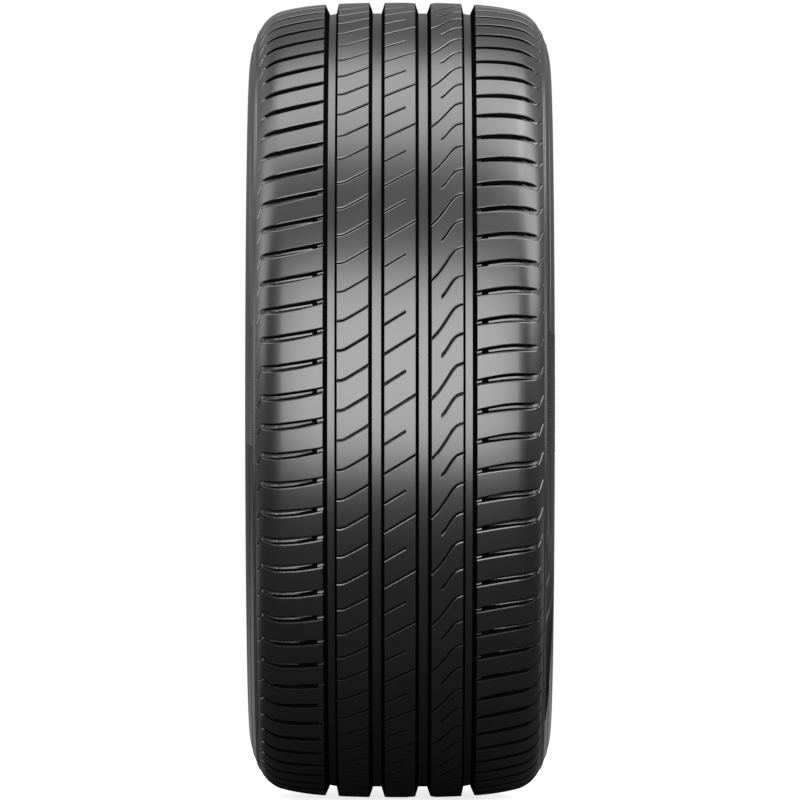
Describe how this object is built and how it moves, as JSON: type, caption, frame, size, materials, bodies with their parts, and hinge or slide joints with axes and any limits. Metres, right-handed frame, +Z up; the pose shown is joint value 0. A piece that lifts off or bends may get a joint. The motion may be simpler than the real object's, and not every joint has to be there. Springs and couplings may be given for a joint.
{
  "type": "car tyre",
  "caption": "Low-profile car tyre: a rubber ring with grooves round the tread, slotted shoulders, plain sidewalls and two beads that seat on a wheel rim.",
  "frame": {"origin": "wheel centre, midway between the two beads", "axes": "+Y along the axis the wheel spins about, +Z up, +X the way the tread faces in the picture"},
  "size_m": [0.6528, 0.2466, 0.653],
  "materials": {
    "rubber": "satin black moulded rubber"
  },
  "bodies": {
    "root": {"tyre": "rubber"}
  },
  "joints": []
}
